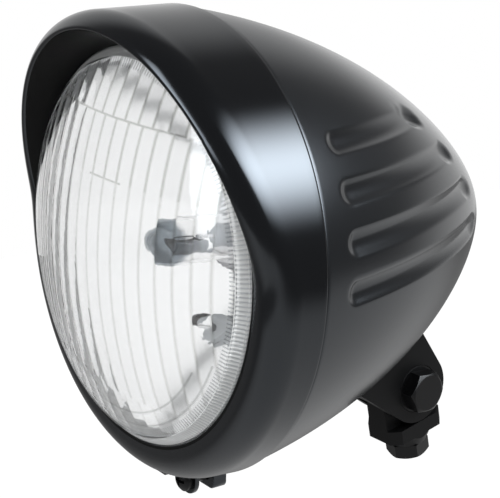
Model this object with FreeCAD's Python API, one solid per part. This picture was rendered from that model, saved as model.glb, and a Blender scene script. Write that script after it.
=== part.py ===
# Bottom-mounted motorcycle headlight with a hooded trim ring, a ribbed egg-shaped bucket and a tilting foot.
# Millimetres, +Z up, the lens faces -Y. Everything is drawn about the lamp axis, with the ring's rear edge
# at y = 0, and moved at the end so that the foot's clamping face is the origin.
import math
import os
import FreeCAD
import Part

V = FreeCAD.Vector

# trim ring
ring_radius = 83.2          # at its rear edge
ring_wall = 1.8
ring_bend = 10.0            # length of the rounded front
ring_taper = 0.06
bezel_depth = 18.6          # rear edge to the front of the plain bezel
bezel_width = 13.8          # radius of the rear edge less that of the glass opening
bezel_lip = 2.6             # flat front of the plain bezel
hood_rise = 19.2            # how far the hood's tip stands out past the bezel
hood_flare = 3.0            # how much wider the hood is at its tip
hood_half = 86.0            # degrees from the top to where the hood ends
hood_curl = 0.078           # flattening of the hood's edge towards its ends
hood_blend = 2.0            # softness of the run-out from hood to bezel
lip_back = 0.2              # the opening's edge, behind the sheet's thickness
lip_slope = 0.6             # widening of the opening's edge towards the rear

# bucket
bucket_length = 141.0       # ring's rear edge to the bucket's rear tip
bucket_wall = 2.8
bucket_step = 0.4           # bucket's front edge, inside the ring's
seam = 0.5                  # open line between ring and bucket
neck_gap = 1.0              # neck inside the ring's sheet
neck_wall = 2.2
neck_front = 6.0            # neck ahead of the ring's rear edge
neck_root = 5.0             # neck behind it, inside the shell
egg_curve = (0.994, 0.52, -0.21, -0.57)

# flutes pressed into each side of the bucket: height of each front end, and its rear end from the bucket's tip
flute_heights = (43.5, 29.0, 13.5, -2.0)
flute_stops = (74.0, 56.0, 42.0, 37.0)
flute_start = 15.0
flute_rise = 0.045          # the flutes climb a little towards the rear
flute_radius = 6.2
flute_depth = 1.7

# glass, with upright ribs pressed into its inside
glass = 3.4
glass_rise = 15.8           # dome height above the skirt
skirt_gap = 0.5             # skirt inside the ring's opening
skirt_front = 0.4           # skirt's edge ahead of the bezel
cone_width = 3.0            # sloping part between skirt and dome
cone_depth = 3.3
glass_step = 1.2            # dome's edge less the inside radius
flange_lap = 2.4            # flange behind the ring's edge
flange_gap = 0.4
flange_thick = 3.0
rib_pitch = 7.0
rib_groove = 0.6            # radius of the valleys between ribs
rib_margin = 1.5            # plain border round the ribs
seal_thick = 1.0
seal_gap = 0.5

# reflector and its clips
bowl_wall = 0.9
bowl_gap = 0.3              # bowl's mouth outside the glass's inside
focus = 24.0
neck_length = 3.0
neck_rim = 6.0
rim_thick = 1.0
clip_thick = 0.8
clip_half = 6.0
clip_lap = 3.3              # grip on the reflector's flange
clip_leg = 4.0
clip_gap = 0.1

# main bulb
bulb_reach = 42.0           # base flange to the glass tip
bulb_radius = 8.6
bulb_wall = 1.0
bulb_seat = 10.0            # base ahead of its flange
bulb_neck = 10.5
bulb_flange = 21.5
bulb_plate = 1.2
bulb_back = 15.0
bulb_rear = 11.0
seat_lap = 2.5              # flange on the reflector's neck
core_radius = 4.2
core_length = 6.0
post_half = 0.6
post_thick = 1.0
cup_radius = 5.0
cup_wall = 0.6
cup_start = 9.0             # behind the glass tip
cup_length = 11.0
cup_edge = 0.5              # the cup is cut open above this height
coil_radius = 0.7
coil_length = 5.0
coil_lift = 0.6
coil_inset = 2.0            # front coil behind the cup's edge
leg_half = 0.4
blade_length = 11.0
blade_width = 8.0
blade_thick = 0.8
blade_reach = 7.0           # outer faces of the side blades
spring_wire = 0.9
spring_inset = 2.9          # spring's ring inside the base flange's edge
boot_wall = 1.6
boot_fit = 0.1
boot_front = 3.0
boot_straight = 4.0
boot_waist = 10.0
boot_taper = 2.0
boot_length = 17.0
boot_hole = 9.5

# parking bulb below the main one
park_drop = 36.0
park_hole = 6.0
park_fit = 0.1
park_cap = 8.5
park_front = 2.0
park_length = 12.0
park_cap_length = 7.6
park_bulb = 2.5
park_socket = 7.0
park_reach = 9.0
park_root = 4.5

# clamp under the ring
clamp_drop = 8.6            # screw below the ring's edge
clamp_radius = 2.5
clamp_gap = 0.2
tab_half = 6.0
tab_thick = 1.8
tab_y = 5.0
strap_thick = 2.0
strap_rise = 4.0            # the strap's sides wrap up round the ring by this much
lug_half = 5.5
lug_behind = 8.5            # lug's front face behind the tab's
lug_thick = 6.0
lug_below = 5.2
lug_round = 2.5
screw_past = 3.0            # screw end behind the lug
head_radius = 4.6
head_edge = 2.0
head_crown = 2.0
cross_half = 0.55
cross_reach = 3.0
cross_depth = 1.6

# foot: ears on a saddle, and the block that tilts between them
pivot_back = 28.3           # bucket's rear tip to the pivot
pivot_drop = 37.6           # bucket's skin to the pivot
foot_lean = 13.0            # degrees, stem against the lamp's vertical in this pose
front_slope = 33.6          # degrees, saddle's front edge above level
rear_slope = 54.0
saddle_front = 50.0         # edges drawn on into the bucket, where the skin trims them
saddle_rear = 42.0
ear_half = 11.5             # half width over both ears
tongue_half = 5.5           # half width of the slot between the ears
tongue_gap = 0.1
ear_rim = 4.8               # ear round the washer's seat
seat = 1.6                  # depth of the washer's seat
seat_gap = 0.2
washer = 1.6
washer_rim = 0.76           # washer outside the hexagon's corners
washer_gap = 0.25
pivot_bolt_radius = 5.0
running_gap = 0.05
nut_height = 8.0
bolt_past = 1.5             # bolt end outside the nut
hex_flats = 16.0            # both big bolts
hex_height = 6.4
hex_crown = 0.94            # round top of a hexagon against its flats
block_half = 10.35
block_inset = 0.4           # block inside the ears' outline, fore and aft
block_corner = 3.9
shoulder_gap = 1.2          # ears to the block's shoulders
block_height = 6.3
boss_height = 5.0           # block to the clamping face
boss_radius = 8.6
boss_top = 11.8
boss_sink = 1.5
stem_bolt_radius = 5.0
stem_turn = 16.0            # degrees
stem_depth = 19.5           # threaded hole in the foot
stem_length = 17.0

# saddle's fixing
pad = 1.5
fix_ahead = 24.7            # middle of the two screws ahead of the pivot
fix_pitch = 10.5            # each screw from that middle
fix_radius = 3.0
fix_gap = 0.3
fix_grip = 6.0
fix_spare = 1.0             # hole past the screw's end
fix_flats = 10.0
fix_head = 4.0
plate_half = 10.0
plate_long = 18.0
plate_thick = 5.0

# cable grommet under the bucket
cable_y = 48.0
cable_radius = 3.4
grommet_neck = 6.0
grommet_flange = 8.5
grommet_lip = 1.5

# sizes that follow from those above
opening_radius = ring_radius - bezel_width
bezel_nose = opening_radius + bezel_lip
bucket_radius = ring_radius - bucket_step
neck_radius = ring_radius - ring_wall - neck_gap
hex_corner = hex_flats / math.sqrt(3)
washer_radius = hex_corner + washer_rim
seat_radius = washer_radius + seat_gap
ear_radius = seat_radius + ear_rim
block_long = ear_radius - block_inset
shoulder = ear_radius + shoulder_gap
block_bottom = shoulder + block_height
foot_face = block_bottom + boss_height
clamp_z = -ring_radius - clamp_drop
pivot_y = bucket_length - pivot_back

x_axis = V(1, 0, 0)
y_axis = V(0, 1, 0)
z_axis = V(0, 0, 1)
origin = V(0, 0, 0)
through = 2 * bucket_length  # length of a cut that goes right through


def turned(points):
    # solid of revolution about the lamp axis from (y, radius) points, the outline closed at the end
    loop = [V(r, y, 0) for y, r in points]
    loop.append(loop[0])
    return Part.Face(Part.makePolygon(loop)).revolve(origin, y_axis, 360)


def egg_radius(y, grow):
    # bucket outline, grown evenly by a given amount
    v = y / (bucket_length + grow)
    body = sum(c * v ** k for k, c in enumerate(egg_curve))
    return (bucket_radius + grow) * math.sqrt(max((1 - v) * body, 0.0))


def egg(grow, front):
    # solid egg, cut flat at the front; its seam runs along the top, clear of the flutes
    tip = bucket_length + grow
    steps = 11
    points = []
    for i in range(steps + 1):
        y = front + (tip - front) * math.sin(0.5 * math.pi * i / steps)
        points.append(V(0, y, egg_radius(y, grow)))
    curve = Part.BSplineCurve()
    curve.interpolate(points)
    close = Part.makePolygon([points[-1], V(0, front, 0), points[0]])
    return Part.Face(Part.Wire([curve.toShape()] + close.Edges)).revolve(origin, y_axis, 360)


def skin_square(y):
    # point on the underside of the bucket and the direction square to the skin there, pointing out
    slope = (egg_radius(y + seam, 0) - egg_radius(y - seam, 0)) / (2 * seam)
    out = V(0, -slope, -1)
    out.normalize()
    return V(0, y, -egg_radius(y, 0)), out


def rod(radius, start, direction, length):
    return Part.makeCylinder(radius, length, start, direction)


def bored(radius, centre, direction):
    # cutter for a hole right through, both ways from a point on its axis
    return rod(radius, centre - direction * (through / 2), direction, through)


def box(x0, x1, y0, y1, z0, z1):
    return Part.makeBox(x1 - x0, y1 - y0, z1 - z0, V(x0, y0, z0))


def hexagon(flats, height, start, direction, turn):
    # hexagon bar with a bevelled end, as on a bolt head
    corner = flats / math.sqrt(3)
    angles = [math.radians(60 * i) for i in range(7)]
    bar = Part.Face(Part.makePolygon([V(corner * math.cos(a), corner * math.sin(a), 0) for a in angles]))
    top = 0.5 * hex_crown * flats
    bar = bar.extrude(V(0, 0, height)).common(Part.makeCone(top + height * math.sqrt(3), top, height))
    bar.rotate(origin, z_axis, turn)
    bar.Placement = FreeCAD.Placement(start, FreeCAD.Rotation(z_axis, direction)).multiply(bar.Placement)
    return bar


# bucket: shell with a neck that enters the ring
outer = egg(0, seam)
cavity = egg(-bucket_wall, 0)
neck = turned([(-neck_front, neck_radius), (neck_root, neck_radius), (neck_root, neck_radius - neck_wall),
               (-neck_front, neck_radius - neck_wall)])
bucket = outer.cut(cavity).fuse(neck)


def flute(side, height, end):
    # rod that follows the egg's side just outside the skin, with ball ends
    steps = 6
    path = []
    for i in range(steps + 1):
        y = flute_start + (end - flute_start) * i / steps
        z = height + flute_rise * (y - flute_start)
        r = egg_radius(y, flute_radius - flute_depth)
        path.append(V(side * math.sqrt(r * r - z * z), y, z))
    curve = Part.BSplineCurve()
    curve.interpolate(path)
    tangent = curve.tangent(curve.FirstParameter)[0]
    circle = Part.Wire([Part.makeCircle(flute_radius, path[0], tangent)])
    tube = Part.Wire([curve.toShape()]).makePipeShell([circle], True, False)
    return [tube, Part.makeSphere(flute_radius, path[0]), Part.makeSphere(flute_radius, path[-1])]


flutes = []
for side in (1, -1):
    for height, stop in zip(flute_heights, flute_stops):
        flutes += flute(side, height, bucket_length - stop)
for piece in flutes:
    bucket = bucket.cut(piece)


# trim ring: one thin section carried round the axis, its nose running out into a hood at the top
def nose_depth(angle):
    share = (angle / hood_half) ** 2
    hood = hood_rise - hood_rise * ((1 + hood_curl) * share - hood_curl * share ** 2)
    return bezel_depth + 0.5 * (hood + math.sqrt(hood ** 2 + hood_blend ** 2))


def ring_section(angle):
    depth = nose_depth(abs(angle))
    share = (depth - bezel_depth) / hood_rise
    flank_y = ring_bend - depth
    flank_r = ring_radius + ring_taper * flank_y
    nose = (-depth, bezel_nose + hood_flare * share)
    drop = flank_r - nose[1]
    bend_r = (ring_bend ** 2 + drop ** 2) / (2 * drop)
    centre = (flank_y, flank_r - bend_r)
    edge = (-bezel_depth, opening_radius)
    edge_back = (-bezel_depth + ring_wall + lip_back, opening_radius + lip_slope)
    # inside of the sheet: the same bend with a smaller radius, met by the wall set back by the thickness
    length = math.hypot(edge[0] - nose[0], edge[1] - nose[1])
    run = ((edge[0] - nose[0]) / length, (edge[1] - nose[1]) / length)
    start = (nose[0] - ring_wall * run[1] - centre[0], nose[1] + ring_wall * run[0] - centre[1])
    dot = start[0] * run[0] + start[1] * run[1]
    root = math.sqrt(dot ** 2 - start[0] ** 2 - start[1] ** 2 + (bend_r - ring_wall) ** 2)
    step = -dot - root
    if step < 0:
        step = -dot + root
    meet = (centre[0] + start[0] + step * run[0], centre[1] + start[1] + step * run[1])

    def place(p):
        turn = math.radians(angle)
        return V(p[1] * math.sin(turn), p[0], p[1] * math.cos(turn))

    def bend_edge(radius, first, last):
        a0 = math.atan2(first[1] - centre[1], first[0] - centre[0])
        a1 = math.atan2(last[1] - centre[1], last[0] - centre[0])
        if a1 < a0:
            a1 += 2 * math.pi
        mid = 0.5 * (a0 + a1)
        middle = (centre[0] + radius * math.cos(mid), centre[1] + radius * math.sin(mid))
        return Part.Arc(place(first), place(middle), place(last)).toShape()

    rear = (0.0, ring_radius)
    rear_in = (0.0, ring_radius - ring_wall)
    flank = (flank_y, flank_r)
    flank_in = (flank_y, flank_r - ring_wall)
    edges = [Part.makeLine(place(rear), place(flank)),
             bend_edge(bend_r, flank, nose),
             Part.makeLine(place(nose), place(edge)),
             Part.makeLine(place(edge), place(edge_back)),
             Part.makeLine(place(edge_back), place(meet)),
             bend_edge(bend_r - ring_wall, flank_in, meet),
             Part.makeLine(place(flank_in), place(rear_in)),
             Part.makeLine(place(rear_in), place(rear))]
    return Part.Wire(Part.__sortEdges__(edges))


section_count = 36
sections = [ring_section(-180 + 360 * i / section_count) for i in range(section_count)]
trim_ring = Part.makeLoft(sections, True, False, True)

# glass: flange behind the ring's edge, skirt through the opening, dome with upright ribs inside
flange_radius = opening_radius + flange_lap
skirt_radius = opening_radius - skirt_gap
dome_radius = skirt_radius - cone_width
inner_radius = dome_radius - glass_step
skirt_y = -bezel_depth - skirt_front
dome_y = skirt_y - cone_depth
flange_y = -bezel_depth + ring_wall + flange_gap
flange_rear = flange_y + flange_thick
ball = (dome_radius ** 2 + glass_rise ** 2) / (2 * glass_rise)
apex = dome_y - glass_rise


def dome_arc(radius, set_back):
    # arc of the dome from its edge to the axis
    points = []
    for r in (radius, radius / 2, 0.0):
        points.append(V(r, apex + set_back + ball - math.sqrt(ball ** 2 - r ** 2), 0))
    return Part.Arc(*points).toShape(), points


front_arc, front = dome_arc(dome_radius, 0)
inside_arc, behind = dome_arc(inner_radius, glass)
rim = Part.makePolygon([behind[0], V(inner_radius, flange_rear, 0), V(flange_radius, flange_rear, 0),
                        V(flange_radius, flange_y, 0), V(skirt_radius, flange_y, 0),
                        V(skirt_radius, skirt_y, 0), front[0]])
middle_line = Part.makeLine(front[-1], behind[-1])
outline = Part.Wire([front_arc, middle_line, inside_arc] + rim.Edges[::-1])
lens = Part.Face(outline).revolve(origin, y_axis, 360)
rib_area = rod(inner_radius - rib_margin, V(0, apex, 0), y_axis, ball)
rib_count = int((inner_radius - 2 * rib_margin) / rib_pitch)
valleys = []
for i in range(-rib_count, rib_count + 1):
    x = i * rib_pitch
    hoop = Part.makeTorus(math.sqrt(ball ** 2 - x * x), rib_groove, V(x, apex + glass + ball, 0), x_axis)
    valleys.append(hoop.common(rib_area))
lens = lens.cut(valleys)

# seal and reflector behind the glass
bowl_y = flange_rear + seal_thick
lens_seal = turned([(flange_rear, flange_radius), (bowl_y, flange_radius), (bowl_y, inner_radius + seal_gap),
                    (flange_rear, inner_radius + seal_gap)])
bowl_radius = inner_radius + bowl_gap
neck_hole = bulb_flange - seat_lap


def bowl_depth(r):
    return bowl_y + (bowl_radius ** 2 - r * r) / (4 * focus)


def bowl_curve(wall):
    points = []
    steps = 6
    for i in range(steps + 1):
        r = bowl_radius + (neck_hole - bowl_radius) * i / steps
        points.append(V(r + wall, bowl_depth(r) + 0.35 * wall, 0))
    curve = Part.BSplineCurve()
    curve.interpolate(points)
    return curve.toShape(), points[0], points[-1]


bowl_face, mouth, throat = bowl_curve(0)
bowl_back, mouth_back, throat_back = bowl_curve(bowl_wall)
neck_end = bowl_depth(neck_hole) + neck_length
rim_radius = neck_hole + neck_rim
neck_edges = Part.makePolygon([throat, V(neck_hole, neck_end, 0), V(rim_radius, neck_end, 0),
                               V(rim_radius, neck_end - rim_thick, 0),
                               V(neck_hole + bowl_wall, neck_end - rim_thick, 0), throat_back])
flange_back = bowl_y + bowl_wall
lip_edges = Part.makePolygon([mouth_back, V(mouth_back.x, flange_back, 0), V(flange_radius, flange_back, 0),
                              V(flange_radius, bowl_y, 0), mouth])
bowl_outline = Part.Wire(Part.__sortEdges__([bowl_face, bowl_back] + neck_edges.Edges + lip_edges.Edges))
reflector = Part.Face(bowl_outline).revolve(origin, y_axis, 360)

# four spring clips between the ring's inside and the reflector's flange
bend_y = ring_bend - bezel_depth
bend_start = ring_radius + ring_taper * bend_y
bend_drop = bend_start - bezel_nose
bend_radius = (ring_bend ** 2 + bend_drop ** 2) / (2 * bend_drop)
bend_height = math.sqrt((bend_radius - ring_wall) ** 2 - (flange_back - bend_y) ** 2)
ring_inside = bend_start - bend_radius + bend_height
clip_reach = math.sqrt(ring_inside ** 2 - clip_half ** 2) - clip_gap
clip = box(flange_radius - clip_lap, clip_reach, flange_back, flange_back + clip_thick, -clip_half, clip_half)
clip_end = flange_back + clip_leg
clip = clip.fuse(box(clip_reach - clip_thick, clip_reach, flange_back, clip_end, -clip_half, clip_half))
clips = []
for turn in (45, 135, 225, 315):
    piece = clip.copy()
    piece.rotate(origin, y_axis, turn)
    clips.append(piece)
retaining_clips = Part.makeCompound(clips)

# main bulb: flanged base in the reflector's neck, glass, shield cup, two coils, three blades, spring and boot
seat_y = neck_end - bulb_seat
bulb_end = neck_end + bulb_rear
bulb_base = turned([(seat_y, bulb_neck), (neck_end, bulb_neck), (neck_end, bulb_flange),
                    (neck_end + bulb_plate, bulb_flange), (neck_end + bulb_plate, bulb_back),
                    (bulb_end, bulb_back), (bulb_end, 0), (seat_y, 0)])
tip = neck_end - bulb_reach
tip_centre = V(0, tip + bulb_radius, 0)


def bulb_form(radius):
    return rod(radius, tip_centre, y_axis, seat_y - tip_centre.y).fuse(Part.makeSphere(radius, tip_centre))


bulb_glass = bulb_form(bulb_radius).cut(bulb_form(bulb_radius - bulb_wall))
core_y = seat_y - core_length
cup_y = tip + cup_start
coil_y = cup_y + coil_inset
post_low = -core_radius - post_thick
bulb_core = rod(core_radius, V(0, core_y, 0), y_axis, core_length)
post = box(-post_half, post_half, cup_y, core_y + post_thick, post_low, post_low + post_thick)
post = post.fuse(box(-post_half, post_half, core_y, core_y + post_thick, post_low, 0))
bulb_core = bulb_core.fuse(post)
cup = rod(cup_radius, V(0, cup_y, 0), y_axis, cup_length)
cup = cup.cut(rod(cup_radius - cup_wall, V(0, cup_y, 0), y_axis, cup_length - cup_wall))
cup = cup.cut(box(-bulb_radius, bulb_radius, tip, seat_y, cup_edge, bulb_radius))
leg_low = 0.5 * cup_wall - cup_radius
leg = box(-leg_half, leg_half, coil_y - 2 * leg_half, coil_y, leg_low, coil_lift + coil_radius)
bulb_core = bulb_core.fuse(cup).fuse(leg)
front_coil = rod(coil_radius, V(0, coil_y, coil_lift), y_axis, coil_length)
rear_coil = rod(coil_radius, V(0, core_y - coil_length, coil_lift), y_axis, coil_length)
bulb_coils = Part.makeCompound([front_coil, rear_coil])
blade_end = bulb_end + blade_length
blade_half = blade_width / 2
blade_low = blade_reach - blade_thick
bulb_blades = Part.makeCompound([
    box(-blade_half, blade_half, bulb_end, blade_end, blade_low, blade_reach),
    box(-blade_reach, -blade_low, bulb_end, blade_end, -blade_half, blade_half),
    box(blade_low, blade_reach, bulb_end, blade_end, -blade_half, blade_half)])
spring_y = neck_end + bulb_plate + spring_wire
bulb_spring = Part.makeTorus(bulb_flange - spring_inset, spring_wire, V(0, spring_y, 0), y_axis)
boot_grip = rim_radius + boot_fit
boot_neck = bulb_back + boot_fit
boot_mid = bulb_back + boot_taper
boot_end = neck_end + boot_length
bulb_boot = turned([(neck_end - boot_front, boot_grip), (neck_end - boot_front, boot_grip + boot_wall),
                    (neck_end + boot_straight, boot_grip + boot_wall),
                    (neck_end + boot_waist, boot_mid + boot_wall), (boot_end, boot_neck + boot_wall),
                    (boot_end, boot_hole), (boot_end - boot_wall, boot_hole),
                    (boot_end - boot_wall, boot_neck), (neck_end + boot_waist, boot_mid),
                    (neck_end + boot_straight, boot_grip)])

# small parking bulb in a rubber holder pushed into the reflector
park = V(0, bowl_depth(park_drop), -park_drop)
park_tilt = math.atan2(park_drop, 2 * focus)
inward = V(0, math.cos(park_tilt), -math.sin(park_tilt))
reflector = reflector.cut(rod(park_hole, park - inward * park_hole, inward, 2 * park_hole))
park_face = park - inward * park_front
parking_holder = rod(park_hole - park_fit, park_face, inward, park_length)
cap_start = park_face + inward * (park_length - park_cap_length)
parking_holder = parking_holder.fuse(rod(park_cap, cap_start, inward, park_cap_length))
parking_holder = parking_holder.cut(rod(park_bulb + park_fit, park_face, inward, park_socket))
park_tip = park - inward * park_reach
parking_bulb = rod(park_bulb, park_tip, inward, park_reach + park_root)
parking_bulb = parking_bulb.fuse(Part.makeSphere(park_bulb, park_tip))

# clamp under the ring: strap on the ring, lug on the bucket, pan-head screw along the lamp
tab_back = tab_y + tab_thick
strap = box(-tab_half, tab_half, bend_y, tab_back, -ring_radius - strap_thick, -ring_radius + strap_rise)
strap = strap.cut(rod(ring_radius, origin, y_axis, bucket_length))
strap = strap.cut(turned([(0, ring_radius), (bend_y, bend_start), (bend_y, 0), (0, 0)]))
leg_plate = box(-tab_half, tab_half, tab_y, tab_back, clamp_z, -ring_radius - strap_thick / 2)
leg_plate = leg_plate.fuse(rod(tab_half, V(0, tab_y, clamp_z), y_axis, tab_thick))
screw_line = V(0, 0, clamp_z)
ring_tab = strap.fuse(leg_plate).cut(bored(clamp_radius + clamp_gap, screw_line, y_axis)).removeSplitter()
lug_y = tab_y + lug_behind
lug_end = lug_y + lug_thick
lug_low = clamp_z - lug_below
lug = box(-lug_half, lug_half, lug_y, lug_end, lug_low, 0).cut(outer)
lug = lug.cut(bored(clamp_radius, screw_line, y_axis))
lower = [e for e in lug.Edges if len(e.Vertexes) == 2
         and all(abs(v.Z - lug_low) < 0.01 for v in e.Vertexes)
         and abs(e.Vertexes[0].X - e.Vertexes[1].X) < 0.01]
bucket_lug = lug.makeFillet(lug_round, lower)
head_y = tab_y - head_edge
crown_y = head_y - head_crown
crown_ball = (head_radius ** 2 + head_crown ** 2) / (2 * head_crown)
crown = Part.makeSphere(crown_ball, V(0, crown_y + crown_ball, clamp_z))
crown = crown.common(rod(head_radius, V(0, crown_y, clamp_z), y_axis, head_crown))
head = rod(head_radius, V(0, head_y, clamp_z), y_axis, head_edge).fuse(crown)
cross_end = crown_y + cross_depth
for wide, tall in ((cross_half, cross_reach), (cross_reach, cross_half)):
    head = head.cut(box(-wide, wide, crown_y, cross_end, clamp_z - tall, clamp_z + tall))
shank = rod(clamp_radius - running_gap, V(0, tab_y, clamp_z), y_axis, lug_end + screw_past - tab_y)
ring_screw = shank.fuse(head).removeSplitter()

# saddle with two ears, shaped to the bucket over a thin pad
pivot = V(0, pivot_y, -egg_radius(pivot_y, 0) - pivot_drop)
left_face = pivot - x_axis * ear_half
front_run = V(0, -math.cos(math.radians(front_slope)), math.sin(math.radians(front_slope)))
rear_run = V(0, -math.cos(math.radians(rear_slope)), math.sin(math.radians(rear_slope)))
front_touch = left_face + V(0, -front_run.z, front_run.y) * ear_radius
rear_touch = left_face + V(0, rear_run.z, -rear_run.y) * ear_radius
ear_outline = [front_touch, front_touch + front_run * saddle_front, rear_touch + rear_run * saddle_rear,
               rear_touch, left_face]
ears = Part.Face(Part.makePolygon(ear_outline + [front_touch])).extrude(V(2 * ear_half, 0, 0))
padded_egg = egg(pad, -neck_root)
saddle = ears.fuse(rod(ear_radius, left_face, x_axis, 2 * ear_half)).cut(padded_egg)
slot_radius = math.hypot(block_long, shoulder + shoulder_gap) + seat_gap
saddle = saddle.cut(rod(slot_radius, pivot - x_axis * tongue_half, x_axis, 2 * tongue_half)).removeSplitter()
saddle = saddle.cut(bored(pivot_bolt_radius + running_gap, pivot, x_axis))
seat_x = ear_half - seat
for side in (1, -1):
    saddle = saddle.cut(rod(seat_radius, pivot + x_axis * (side * seat_x), x_axis * side, through))
saddle_pad = padded_egg.cut(outer).common(ears)

# fixing screws stand square to the bucket's skin at the middle of the saddle, over a plate inside
fix_point, down = skin_square(pivot_y - fix_ahead)
ahead = V(0, -down.z, down.y)
fix_inside = bucket_wall + plate_thick
plate = Part.makeBox(2 * plate_half, 2 * plate_long, 2 * plate_thick, V(-plate_half, -plate_long, 0))
facing = FreeCAD.Rotation(x_axis, ahead, down, "ZXY")
plate.Placement = FreeCAD.Placement(fix_point - down * fix_inside, facing)
backing_plate = plate.common(cavity)
screws = []
for share in (-1, 1):
    start = fix_point + ahead * (share * fix_pitch) - down * fix_inside
    clear = rod(fix_radius + fix_gap, start - down * plate_thick, down, through)
    backing_plate = backing_plate.cut(clear)
    bucket = bucket.cut(clear)
    saddle_pad = saddle_pad.cut(clear)
    length = fix_inside + pad + fix_grip
    saddle = saddle.cut(rod(fix_radius, start, down, length + fix_spare))
    shaft = rod(fix_radius - running_gap, start, down, length)
    screws.append(shaft.fuse(hexagon(fix_flats, fix_head, start, down * -1, 0)))
saddle_screws = Part.makeCompound(screws)

# cable grommet, its flanges shaped to the skin
hole, out = skin_square(cable_y)


def under(radius):
    # short bar across the skin at the cable hole
    return rod(radius, hole - out * 2 * grommet_neck, out, 4 * grommet_neck)


lipped = egg(grommet_lip, -neck_root)
lined = egg(-bucket_wall - grommet_lip, -neck_root)
bucket = bucket.cut(under(grommet_neck))
wide = under(grommet_flange)
cable_grommet = wide.common(lipped).cut(outer).fuse(wide.common(cavity).cut(lined))
cable_grommet = cable_grommet.fuse(under(grommet_neck).common(lipped).cut(lined))
cable_grommet = cable_grommet.cut(under(cable_radius)).removeSplitter()

# pivot bolt, washers and nut across the ears
head_x = seat_x + washer
washers = []
for side in (1, -1):
    disc = rod(washer_radius, pivot + x_axis * (side * seat_x), x_axis * side, washer)
    washers.append(disc.cut(bored(pivot_bolt_radius + washer_gap, pivot, x_axis)))
pivot_washers = Part.makeCompound(washers)
bolt_length = 2 * head_x + nut_height + bolt_past
pivot_bolt = rod(pivot_bolt_radius, pivot + x_axis * head_x, x_axis * -1, bolt_length)
pivot_bolt = pivot_bolt.fuse(hexagon(hex_flats, hex_height, pivot + x_axis * head_x, x_axis, 90))
pivot_nut = hexagon(hex_flats, nut_height, pivot - x_axis * head_x, x_axis * -1, 90)
pivot_nut = pivot_nut.cut(bored(pivot_bolt_radius + running_gap, pivot, x_axis))

# foot, drawn upright about the pivot and then leaned
side_x = block_half - block_corner
side_y = block_long - block_corner
block_outline = [V(-block_half, -side_y, 0), V(-side_x, -block_long, 0), V(side_x, -block_long, 0),
                 V(block_half, -side_y, 0), V(block_half, side_y, 0), V(side_x, block_long, 0),
                 V(-side_x, block_long, 0), V(-block_half, side_y, 0), V(-block_half, -side_y, 0)]
body = Part.Face(Part.makePolygon(block_outline)).extrude(V(0, 0, block_height))
body.translate(V(0, 0, -block_bottom))
tongue_x = tongue_half - tongue_gap
tongue = box(-tongue_x, tongue_x, -block_long, block_long, -shoulder - shoulder_gap, 0)
tongue = tongue.fuse(rod(block_long, V(-tongue_x, 0, 0), x_axis, 2 * tongue_x))
boss = Part.makeCone(boss_radius, boss_top, boss_height + boss_sink, V(0, 0, -foot_face))
boss_end = boss_sink - block_bottom
boss = boss.common(box(-block_half, block_half, -block_long, block_long, -foot_face, boss_end))
mount_block = body.fuse([tongue, boss]).removeSplitter()
mount_block = mount_block.cut(bored(pivot_bolt_radius + running_gap, origin, x_axis))
foot_centre = V(0, 0, -foot_face)
mount_block = mount_block.cut(rod(stem_bolt_radius, foot_centre, z_axis, stem_depth))
stem_bolt = rod(stem_bolt_radius - running_gap, foot_centre, z_axis, stem_length)
stem_bolt = stem_bolt.fuse(hexagon(hex_flats, hex_height, foot_centre, z_axis * -1, stem_turn))
for piece in (mount_block, stem_bolt):
    piece.rotate(origin, x_axis, foot_lean)
    piece.translate(pivot)

nodes = {
    "bucket": bucket, "trim_ring": trim_ring, "ring_tab": ring_tab, "ring_screw": ring_screw,
    "bucket_lug": bucket_lug, "lens": lens, "lens_seal": lens_seal, "reflector": reflector,
    "retaining_clips": retaining_clips, "bulb_base": bulb_base, "bulb_glass": bulb_glass,
    "bulb_core": bulb_core, "bulb_coils": bulb_coils, "bulb_blades": bulb_blades,
    "bulb_spring": bulb_spring, "bulb_boot": bulb_boot, "parking_holder": parking_holder,
    "parking_bulb": parking_bulb, "saddle": saddle, "saddle_pad": saddle_pad,
    "backing_plate": backing_plate, "saddle_screws": saddle_screws, "cable_grommet": cable_grommet,
    "pivot_bolt": pivot_bolt, "pivot_washers": pivot_washers, "pivot_nut": pivot_nut,
    "mount_block": mount_block, "stem_bolt": stem_bolt}

lean = math.radians(foot_lean)
foot = pivot + V(0, math.sin(lean), -math.cos(lean)) * foot_face
os.makedirs("parts", exist_ok=True)
for name, shape in nodes.items():
    shape.translate(foot * -1)
    shape.exportStep("parts/" + name + ".step")
    print(name, shape.isValid(), len(shape.Solids), round(shape.Volume / 1000, 2))
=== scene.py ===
import math
from functools import partial
import bpy
import bmesh
import numpy as np
from mathutils import Matrix, Vector


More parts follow.
